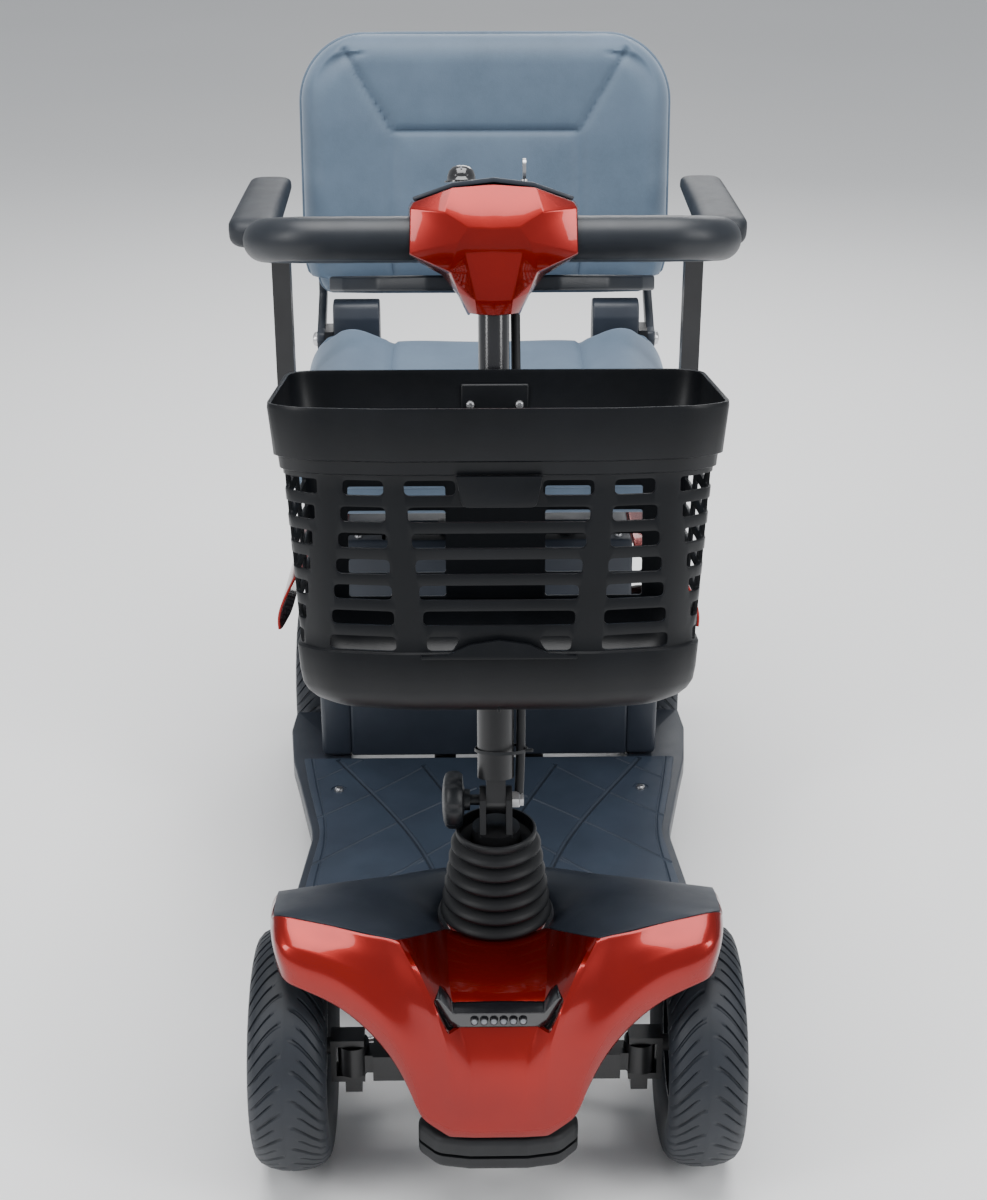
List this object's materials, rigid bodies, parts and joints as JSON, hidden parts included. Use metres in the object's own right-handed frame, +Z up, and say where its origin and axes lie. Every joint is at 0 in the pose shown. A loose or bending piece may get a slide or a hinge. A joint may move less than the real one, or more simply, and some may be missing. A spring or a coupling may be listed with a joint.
{
  "type": "mobility scooter",
  "caption": "Four-wheel travel mobility scooter with a tilting tiller, lift-off basket, swivel seat with folding back and flip-up arms.",
  "frame": {"origin": "on the ground under the middle of the scooter's overall box", "axes": "+Z up, -Y the way the scooter drives, +X the rider's left"},
  "size_m": [0.556, 1.093, 0.9337],
  "materials": {
    "frame_steel": "satin black powder coat",
    "upper_tube": "gloss black",
    "bare_steel": "zinc plated",
    "red_shell": "candy red lacquer",
    "dark_panel": "fine grained",
    "floor_mat": "grooved matt rubber",
    "black_rubber": "matt",
    "black_plastic": "fine grained",
    "control_black": "gloss",
    "horn_button": "gloss",
    "paddle": "satin",
    "headlight": "smoked lens",
    "tail_lens": "red lens",
    "foam": "closed cell foam",
    "tyre": "moulded tread",
    "rim": "silver lacquer",
    "drive": "cast",
    "cells": "plain",
    "lever_yellow": "satin",
    "upholstery": "soft leatherette",
    "arm_skin": "grained foam skin"
  },
  "bodies": {
    "chassis": {"main_frame": "frame_steel", "footboard": "dark_panel", "floor_mat": "floor_mat", "front_shroud": "red_shell", "front_top_panel": "dark_panel", "headlight": "headlight", "front_bumper": "black_rubber", "steering_boot": "black_rubber", "rear_frame": "frame_steel", "rear_cover": "dark_panel", "rear_side_panels": "red_shell", "rear_bumper": "black_rubber", "tail_lights": "tail_lens", "drive_unit": "drive", "controller": "black_plastic", "chassis_fasteners": "bare_steel"},
    "battery": {"battery_case": "black_plastic", "battery_cells": "cells"},
    "battery_bail": {"battery_handle": "black_plastic"},
    "steering": {"steering_stem": "frame_steel"},
    "knuckle_left": {"knuckle_left": "frame_steel"},
    "knuckle_right": {"knuckle_right": "frame_steel"},
    "tie_rod_left": {"tie_rod_left": "bare_steel"},
    "tie_rod_right": {"tie_rod_right": "bare_steel"},
    "front_wheel_left": {"front_tyre_left": "tyre", "front_rim_left": "rim"},
    "front_wheel_right": {"front_tyre_right": "tyre", "front_rim_right": "rim"},
    "rear_wheel_left": {"rear_tyre_left": "tyre", "rear_rim_left": "rim", "rear_axle_left": "bare_steel"},
    "rear_wheel_right": {"rear_tyre_right": "tyre", "rear_rim_right": "rim", "rear_axle_right": "bare_steel"},
    "roller_left": {"anti_tip_roller_left": "black_rubber"},
    "roller_right": {"anti_tip_roller_right": "black_rubber"},
    "tiller": {"tiller_lower_tube": "frame_steel", "tiller_upper_tube": "upper_tube", "head_front_shell": "red_shell", "head_rear_shell": "dark_panel", "handlebar_tube": "bare_steel", "handlebar_foam": "foam", "tiller_cable": "black_rubber", "basket_bracket": "frame_steel"},
    "tilt_knob": {"tilt_knob": "black_plastic"},
    "throttle": {"throttle_paddles": "paddle"},
    "speed_dial": {"speed_dial": "control_black"},
    "key": {"key": "bare_steel"},
    "horn_button": {"horn_button": "horn_button"},
    "basket": {"basket": "black_plastic"},
    "seat_post": {"seat_post": "upper_tube"},
    "seat": {"seat_frame": "frame_steel", "seat_cushion": "upholstery", "hinge_covers": "dark_panel"},
    "swivel_lever": {"swivel_lever": "black_plastic"},
    "backrest": {"backrest_shell": "dark_panel", "backrest_cushion": "upholstery"},
    "armrest_left": {"arm_pad_left": "arm_skin"},
    "armrest_right": {"arm_pad_right": "arm_skin"},
    "freewheel_lever": {"freewheel_lever": "lever_yellow"}
  },
  "joints": [
    {"name": "steer", "type": "hinge", "parent": "chassis", "child": "steering", "pos_m": [0, -0.38, 0.3], "axis": [0, 0, 1], "range_deg": [-35, 35]},
    {"name": "knuckle_left", "type": "hinge", "parent": "chassis", "child": "knuckle_left", "pos_m": [0.137, -0.42, 0.1], "axis": [0, 0, 1], "range_deg": [-35, 35]},
    {"name": "tie_rod_left_swing", "type": "hinge", "parent": "steering", "child": "tie_rod_left", "pos_m": [0, -0.33, 0.07], "axis": [0, 0, 1], "range_deg": [-35, 35]},
    {"name": "front_wheel_left_spin", "type": "hinge", "parent": "knuckle_left", "child": "front_wheel_left", "pos_m": [0.192, -0.42, 0.115], "axis": [1, 0, 0], "continuous": true},
    {"name": "rear_wheel_left_spin", "type": "hinge", "parent": "chassis", "child": "rear_wheel_left", "pos_m": [0.208, 0.355, 0.115], "axis": [1, 0, 0], "continuous": true},
    {"name": "roller_left_spin", "type": "hinge", "parent": "chassis", "child": "roller_left", "pos_m": [0.068, 0.52, 0.045], "axis": [1, 0, 0], "continuous": true},
    {"name": "armrest_left_flip", "type": "hinge", "parent": "seat", "child": "armrest_left", "pos_m": [0.228, 0.177, 0.756], "axis": [-1, 0, 0], "range_deg": [0, 90]},
    {"name": "knuckle_right", "type": "hinge", "parent": "chassis", "child": "knuckle_right", "pos_m": [-0.137, -0.42, 0.1], "axis": [0, 0, 1], "range_deg": [-35, 35]},
    {"name": "tie_rod_right_swing", "type": "hinge", "parent": "steering", "child": "tie_rod_right", "pos_m": [0, -0.33, 0.07], "axis": [0, 0, 1], "range_deg": [-35, 35]},
    {"name": "front_wheel_right_spin", "type": "hinge", "parent": "knuckle_right", "child": "front_wheel_right", "pos_m": [-0.192, -0.42, 0.115], "axis": [1, 0, 0], "continuous": true},
    {"name": "rear_wheel_right_spin", "type": "hinge", "parent": "chassis", "child": "rear_wheel_right", "pos_m": [-0.208, 0.355, 0.115], "axis": [1, 0, 0], "continuous": true},
    {"name": "roller_right_spin", "type": "hinge", "parent": "chassis", "child": "roller_right", "pos_m": [-0.068, 0.52, 0.045], "axis": [1, 0, 0], "continuous": true},
    {"name": "armrest_right_flip", "type": "hinge", "parent": "seat", "child": "armrest_right", "pos_m": [-0.228, 0.177, 0.756], "axis": [-1, 0, 0], "range_deg": [0, 90]},
    {"name": "tiller_tilt", "type": "hinge", "parent": "steering", "child": "tiller", "pos_m": [0, -0.368, 0.355], "axis": [1, 0, 0], "range_deg": [-3, 14]},
    {"name": "tilt_knob_turn", "type": "hinge", "parent": "steering", "child": "tilt_knob", "pos_m": [-0.036, -0.368, 0.355], "axis": [1, 0, 0], "range_deg": [-180, 180]},
    {"name": "basket_lift", "type": "slide", "parent": "tiller", "child": "basket", "axis": [0, 0.2756, 0.9613], "range_m": [0, 0.04]},
    {"name": "throttle", "type": "hinge", "parent": "tiller", "child": "throttle", "pos_m": [0, -0.21785, 0.79881], "axis": [0, 0.2756, 0.9613], "range_deg": [-12, 12], "stiffness_Nm_per_rad": 0.6},
    {"name": "speed_dial_turn", "type": "hinge", "parent": "tiller", "child": "speed_dial", "pos_m": [-0.028, -0.1951, 0.89631], "axis": [0, 0.2756, 0.9613], "range_deg": [-135, 135]},
    {"name": "key_turn", "type": "hinge", "parent": "tiller", "child": "key", "pos_m": [0.028, -0.1951, 0.89631], "axis": [0, 0.2756, 0.9613], "range_deg": [0, 90]},
    {"name": "horn_press", "type": "slide", "parent": "tiller", "child": "horn_button", "axis": [0, -0.2756, -0.9613], "range_m": [0, 0.0025], "stiffness_N_per_m": 400},
    {"name": "battery_lift", "type": "slide", "parent": "chassis", "child": "battery", "axis": [0, 0, 1], "range_m": [0, 0.06]},
    {"name": "battery_handle_fold", "type": "hinge", "parent": "battery", "child": "battery_bail", "pos_m": [0, 0.162, 0.4095], "axis": [-1, 0, 0], "range_deg": [0, 85]},
    {"name": "seat_height", "type": "slide", "parent": "chassis", "child": "seat_post", "axis": [0, 0, 1], "range_m": [0, 0.05]},
    {"name": "seat_swivel", "type": "hinge", "parent": "seat_post", "child": "seat", "pos_m": [0, 0.205, 0.49], "axis": [0, 0, 1], "range_deg": [-90, 90]},
    {"name": "swivel_lever_pull", "type": "hinge", "parent": "seat", "child": "swivel_lever", "pos_m": [0.09, 0.236, 0.5], "axis": [0, 0, 1], "range_deg": [-12, 0], "stiffness_Nm_per_rad": 1, "springref_deg": 5.73},
    {"name": "backrest_fold", "type": "hinge", "parent": "seat", "child": "backrest", "pos_m": [0, 0.337, 0.58], "axis": [1, 0, 0], "range_deg": [0, 50]},
    {"name": "freewheel", "type": "hinge", "parent": "chassis", "child": "freewheel_lever", "pos_m": [0.108, 0.446, 0.147], "axis": [1, 0, 0], "range_deg": [0, 30]}
  ],
  "couplings": [
    {"joint": "knuckle_left", "follows": "steer", "ratio": 1},
    {"joint": "knuckle_right", "follows": "steer", "ratio": 1},
    {"joint": "tie_rod_left_swing", "follows": "steer", "ratio": -1},
    {"joint": "tie_rod_right_swing", "follows": "steer", "ratio": -1}
  ]
}
